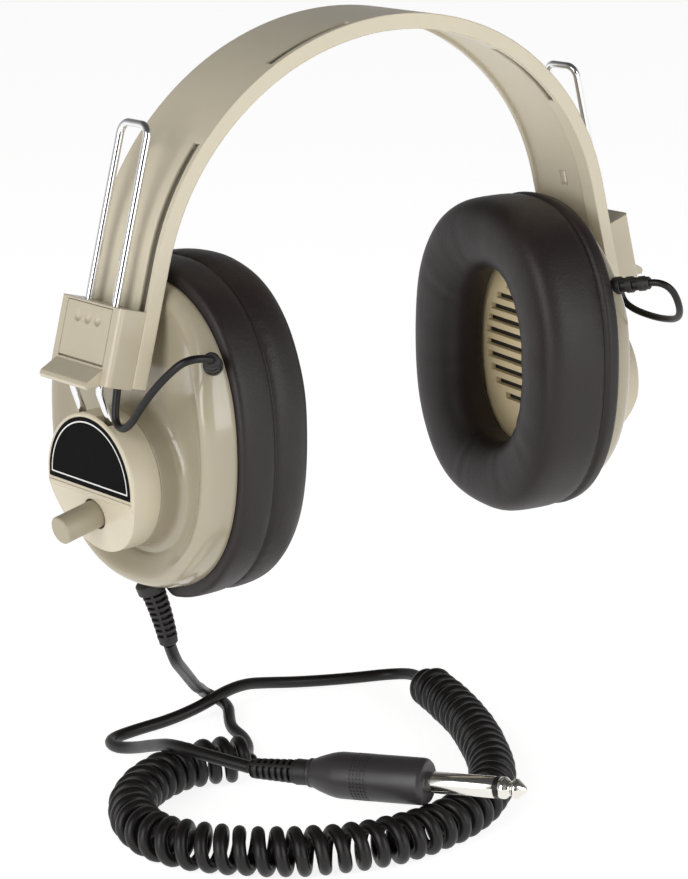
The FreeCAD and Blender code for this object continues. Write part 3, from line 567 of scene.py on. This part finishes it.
def profile(seam):
    return [(83.4, 71.6, 90.6), (83.4, 77.0, 96.0), (83.3, 81.2, 100.2), (82.9, 83.2, 102.2), (82.0, 84.3, 103.3),
            (80.9 if seam < 75 else 80.2, 84.9, 103.9), (seam + 3.2 if seam < 75 else 79.2, 85.1, 104.1),
            (seam + 1.5 if seam < 75 else 78.6, 84.6, 103.6), (seam + 0.5, 83.6, 102.6),
            (seam, 82.5, 101.5), (seam - 0.5, 83.6, 102.6), (seam - 1.6, 84.6, 103.6),
            (seam - 3.6, 85.1, 104.1), (66.2 if seam < 75 else 70.0, 85.3, 104.3), (63.0, 85.0, 104.0),
            (60.2, 83.9, 102.9), (58.0, 81.8, 100.8), (56.5, 78.8, 97.8), (55.6, 74.9, 93.9), (55.15, 70.3, 89.3),
            (55.0, 65.0, 84.0), (55.1, 59.4, 78.2), (55.6, 53.6, 72.4), (56.7, 48.2, 66.8), (58.5, 43.7, 62.0),
            (61.0, 40.4, 58.6), (64.5, 38.9, 57.2), (69.0, 39.8, 58.2), (73.2, 43.0, 61.0), (73.3, 56.0, 75.0),
            (73.3, 70.9, 89.9), (75.5, 71.6, 90.6)]


ROWS = 32


def cushion(left):
    n = 176
    seed = 3.7 if left else 9.1
    rows = []
    for k, (x, w, h) in enumerate(profile(70.6 if left else 77.6)):
        row = oval(x, w, h + (-1.6 if left else 0.4), n)
        out = []
        for i, p in enumerate(row):
            a = 2 * math.pi * (i + 0.5) / n
            q = Vector((p.x * 28 + seed, p.y * 28, p.z * 28))
            soft = noise.noise(q) * 0.45 + noise.noise(q * 2.3) * 0.22
            face = 1.0 if 12 <= k <= 26 else 0.35
            crease = 0.0
            if 19 <= k <= 27:
                crease = 0.22 * math.sin(a * 23 + 3 * noise.noise(Vector((a * 2, seed, 0)))) * \
                    max(0.0, noise.noise(Vector((a * 3.1, seed, 4.0))) + 0.25)
            if k in (8, 10, 11):
                crease += 0.12 * math.sin(a * 61 + 2 * noise.noise(Vector((a * 5, seed, 1.0))))
            centre = vec(p.x / MM, 0, CUP_Z)
            radial = (p - centre).normalized()
            push = soft * face + crease
            if k in (0, 1, 28, 29, 30, 31):
                push = 0.0
            move = radial * push * MM * (1.0 if k < 17 else (0.2 if k < 23 else -0.9))
            if 15 <= k <= 25:
                move += Vector((-push * MM * 0.8, 0, 0))
            q = p + move
            if left:
                # the roll gives way round the cord's strain relief
                f = max(0.0, min(1.0, (-156.0 - q.z / MM) / 25.0))
                c = vec(86.6 - 7.8 * f, 0.6 - 2.9 * f, q.z / MM)
                near = Vector((q.x - c.x, q.y - c.y, 0))
                if q.z < -0.150 and near.length < 6.4 * MM:
                    q.z += (6.4 * MM - near.length) * 0.9
            out.append(q)
        rows.append(out)
    verts = [v for row in rows for v in sided(row, left)]
    s = "l" if left else "r"
    obj = fit_faces(mesh_object("ear_cushion_soft_" + s, verts, grid_faces(len(rows), n, True), M["vinyl"], 0))
    obj["rows"] = len(rows)
    return obj, n


def soften(obj, n, left):
    """A short cloth run: the cover swells against its seams, capped to a small move."""
    me = obj.data
    rest = [v.co.copy() for v in me.vertices]
    grp = obj.vertex_groups.new(name="pin")
    hold = {0: 1.0, 1: 1.0, 2: 1.0, 3: 0.8, 8: 0.9, 9: 1.0, 10: 0.9, 27: 0.8, 28: 1.0, 29: 1.0, 30: 1.0, 31: 1.0}
    for k in range(ROWS):
        grp.add(list(range(k * n, (k + 1) * n)), hold.get(k, 0.05), "REPLACE")
    mod = obj.modifiers.new("Cloth", "CLOTH")
    c = mod.settings
    c.quality = 5
    c.mass = 0.15
    c.tension_stiffness = 18
    c.compression_stiffness = 18
    c.shear_stiffness = 8
    c.bending_stiffness = 0.6
    c.use_pressure = True
    c.uniform_pressure_force = 3.0
    c.vertex_group_mass = "pin"
    c.pin_stiffness = 1.0
    c.effector_weights.gravity = 0.0
    mod.collision_settings.use_collision = False
    scene = bpy.context.scene
    scene.frame_start = 1
    scene.frame_end = 14
    mod.point_cache.frame_start = 1
    mod.point_cache.frame_end = 14
    for f in range(1, 15):
        scene.frame_set(f)
    dg = bpy.context.evaluated_depsgraph_get()
    ev = obj.evaluated_get(dg)
    new = [v.co.copy() for v in ev.data.vertices]
    obj.modifiers.remove(mod)
    scene.frame_set(1)
    most = 0.0
    for i, v in enumerate(me.vertices):
        d = new[i] - rest[i]
        most = max(most, d.length)
        cap = 1.1 * MM
        if d.length > cap:
            d = d.normalized() * cap
        v.co = rest[i] + d * (1 - hold.get(i // n, 0.0))
    print("cushion cloth: largest move", round(most / MM, 2), "mm")


for left in (True, False):
    shell(left)
    s = "l" if left else "r"
    obj, n = cushion(left)
    soften(obj, n, left)
    sub = obj.modifiers.new("smooth", "SUBSURF")
    sub.levels = 1
    sub.render_levels = 1
    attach(obj, "left_cup" if left else "right_cup")
    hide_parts("ear_cushion_" + s)

# ---------------------------------------------------------------- chrome wire yokes
END = (91.934, -56.919)
TAN = (0.26601, -0.96397)
NRM = (0.96397, 0.26601)
WIRE_TOP = 36.8


def band_end(v, y, u):
    return vec(END[0] + TAN[0] * u + NRM[0] * v, y, END[1] + TAN[1] * u + NRM[1] * v)


def bent(pts, radii):
    out = [pts[0]]
    for i in range(1, len(pts) - 1):
        a = (pts[i] - pts[i - 1]).normalized()
        b = (pts[i + 1] - pts[i]).normalized()
        turn = a.angle(b)
        r = radii[i - 1] * MM
        d = r * math.tan(turn / 2)
        bis = (b - a).normalized()
        c = pts[i] + bis * (r / math.cos(turn / 2))
        p0 = pts[i] - a * d - c
        p1 = pts[i] + b * d - c
        steps = 12
        for k in range(steps + 1):
            f = k / steps
            q = (p0 * math.sin((1 - f) * turn) + p1 * math.sin(f * turn)) / math.sin(turn)
            out.append(c + q)
    out.append(pts[-1])
    return out


for left in (True, False):
    y = 6.4
    px, pz = PIV
    ends = [vec(px, k, pz) for k in (11.6, y, -y, -11.6)]
    if not left:
        ends = [yawed(p) for p in ends]
    pts = [ends[0], ends[1], band_end(4.3, y, 40.4), band_end(4.3, y, -WIRE_TOP),
           band_end(4.3, -y, -WIRE_TOP), band_end(4.3, -y, 40.4), ends[2], ends[3]]
    pts = bent(pts, [1.9, 4.0, 3.4, 3.4, 4.0, 1.9])
    if left:
        pts = [Vector((-p.x, p.y, p.z)) for p in pts]
    s = "l" if left else "r"
    wire = sweep("wire_yoke_bent_" + s, pts, 1.2 * MM, M["chrome"], seg=28)
    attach(wire, "left_yoke" if left else "right_yoke")
    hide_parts("wire_yoke_" + s)


# ---------------------------------------------------------------- label with a white border line
def label_line(left):
    z0, r, chord = BOSS_Z, 18.55, -123.35
    half = math.sqrt(r * r - (chord - z0) ** 2)
    a0 = math.atan2(chord - z0, half)
    pts = []
    steps = 60
    for k in range(steps + 1):
        a = a0 + (math.pi - 2 * a0) * k / steps
        pts.append((r * math.cos(a), z0 + r * math.sin(a)))
    ring_pts = pts
    verts, faces = [], []
    m = len(ring_pts)
    centre = (0.0, z0 + 7.5)
    for y, z in ring_pts:
        dy, dz = y - centre[0], z - centre[1]
        ln = math.hypot(dy, dz)
        iy, iz = y - dy / ln * 0.42, z - dz / ln * 0.42
        if z < chord + 0.02:
            iz = chord + 0.42
            iy = y - math.copysign(0.5, y)
        for yy, zz in ((y, z), (iy, iz)):
            for x in (106.8, 106.99):
                verts.append(vec(x, yy, zz))
    for i in range(m):
        a, b = i * 4, ((i + 1) % m) * 4
        faces += [(a + 1, b + 1, b + 3, a + 3), (a, b, b + 1, a + 1),
                  (a + 2, a + 3, b + 3, b + 2), (a, a + 2, b + 2, b)]
    s = "l" if left else "r"
    obj = fit_faces(mesh_object("label_border_" + s, sided(verts, left), faces, M["line"], 30))
    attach(obj, "left_cup" if left else "right_cup")


for left in (True, False):
    label_line(left)

# ---------------------------------------------------------------- jumper cables, each in two lengths
JUMP_R = 1.15
JUMP = {
    "l": [(-102.3, -10.6, -87.5), (-104.0, -10.8, -95.0), (-105.6, -11.6, -103.8), (-106.0, -18.0, -104.2),
          (-105.8, -26.0, -94.5), (-104.4, -34.0, -86.0), (-100.6, -41.0, -79.2), (-93.2, -41.2, -81.2)],
    "r": [(102.5, -10.6, -90.0), (104.3, -10.8, -96.0), (105.2, -13.5, -101.5), (106.0, -28.0, -103.5),
          (98.0, -45.5, -99.0)],
}
RELIEF_J = {"l": (vec(-84.6, -31.5, -87.0), vec(-93.2, -41.2, -81.2)),
            "r": (yawed(vec(84.8, -30.1, -85.9)), yawed(vec(92.8, -44.0, -83.0)))}
_end = RELIEF_J["r"][1]
_out = _end + (_end - RELIEF_J["r"][0]).normalized() * 7 * MM
JUMP["r"] += [tuple(_out / MM), tuple(_end / MM)]
for s in ("l", "r"):
    cup = "left_cup" if s == "l" else "right_cup"
    r = route("jumper_route_" + s, [vec(*p) for p in JUMP[s]])
    line = read_line(r)
    bpy.data.objects.remove(r)
    total, at = along(line)
    print("jumper", s, "length", round(total, 4))
    half = total * 0.5
    cuts = {"upper": (0.0, half), "lower": (half, total)}
    for part, (a, b) in cuts.items():
        n = 40
        pts = [at(a + (b - a) * k / (n - 1))[0] for k in range(n)]
        tube = sweep("jumper_" + part + "_" + s, pts, JUMP_R * MM, M["cord"], seg=20)
        if part == "upper":
            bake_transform(tube)
        else:
            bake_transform(tube)
    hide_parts("jumper_cable_" + s)
    relief("jumper_relief_sleeve_" + s, RELIEF_J[s], (3.4, 2.2), 3, 2.9, 2.1, cup, "jumper_relief_" + s,
           spines=4, tail=1.6)

# ---------------------------------------------------------------- stage
FLOOR = -0.2269


def flat(name, corners, mat):
    obj = mesh_object(name, corners, [tuple(range(len(corners)))], mat, 0)
    return obj


floor_mat = bpy.data.materials.new("floor")
floor_mat.use_nodes = True
fb = floor_mat.node_tree.nodes["Principled BSDF"]
fb.inputs["Base Color"].default_value = (0.55, 0.55, 0.55, 1)
fb.inputs["Roughness"].default_value = 0.9
fb.inputs["Specular IOR Level"].default_value = 0.0
fb.inputs["Emission Color"].default_value = (1, 1, 1, 1)
fb.inputs["Emission Strength"].default_value = 0.85
flat("floor", [(-14, -14, FLOOR), (14, -14, FLOOR), (14, 14, FLOOR), (-14, 14, FLOOR)], floor_mat)


def area(name, where, at, size, power, size_y=None):
    li = bpy.data.lights.new(name, "AREA")
    li.energy = power
    li.size = size
    if size_y:
        li.shape = "RECTANGLE"
        li.size_y = size_y
    o = link(bpy.data.objects.new(name, li))
    o.location = where
    o.rotation_euler = (Vector(at) - Vector(where)).to_track_quat("-Z", "Y").to_euler()
    return o


area("key", (-1.35, -0.35, 0.30), (0, 0, -0.1), 0.8, 11, 1.1)
area("front", (0.30, -1.45, 0.25), (0, 0, -0.1), 0.7, 7, 1.0)
world = bpy.data.worlds.new("world")
bpy.context.scene.world = world
world.use_nodes = True
wn = world.node_tree
bg = wn.nodes["Background"]
co = wn.nodes.new("ShaderNodeTexCoord")
sep = wn.nodes.new("ShaderNodeSeparateXYZ")
sky = wn.nodes.new("ShaderNodeValToRGB")
wn.links.new(co.outputs["Generated"], sep.inputs["Vector"])
wn.links.new(sep.outputs["Z"], sky.inputs["Fac"])
wn.links.new(sky.outputs["Color"], bg.inputs["Color"])
el = sky.color_ramp.elements
el[0].position = 0.0
el[0].color = (0.95, 0.95, 0.95, 1)
el[1].position = 0.75
el[1].color = (0.10, 0.10, 0.10, 1)
mid = el.new(0.25)
mid.color = (0.56, 0.56, 0.56, 1)
bg.inputs["Strength"].default_value = 0.8
# a dark stand in front of the set: it leaves the dark streak in the bright wires
dot = wn.nodes.new("ShaderNodeVectorMath")
dot.operation = "DOT_PRODUCT"
dot.inputs[1].default_value = (-0.652, -0.752, 0.10)
wn.links.new(co.outputs["Generated"], dot.inputs[0])
shade = wn.nodes.new("ShaderNodeValToRGB")
shade.color_ramp.elements[0].position = 0.88
shade.color_ramp.elements[0].color = (1, 1, 1, 1)
shade.color_ramp.elements[1].position = 0.94
shade.color_ramp.elements[1].color = (0.05, 0.05, 0.05, 1)
wn.links.new(dot.outputs["Value"], shade.inputs["Fac"])
both = wn.nodes.new("ShaderNodeMix")
both.data_type = "RGBA"
both.blend_type = "MULTIPLY"
both.inputs[0].default_value = 1.0
wn.links.new(sky.outputs["Color"], both.inputs[6])
wn.links.new(shade.outputs["Color"], both.inputs[7])
wn.links.new(both.outputs[2], bg.inputs["Color"])
bpy.context.scene.view_settings.view_transform = "Standard"
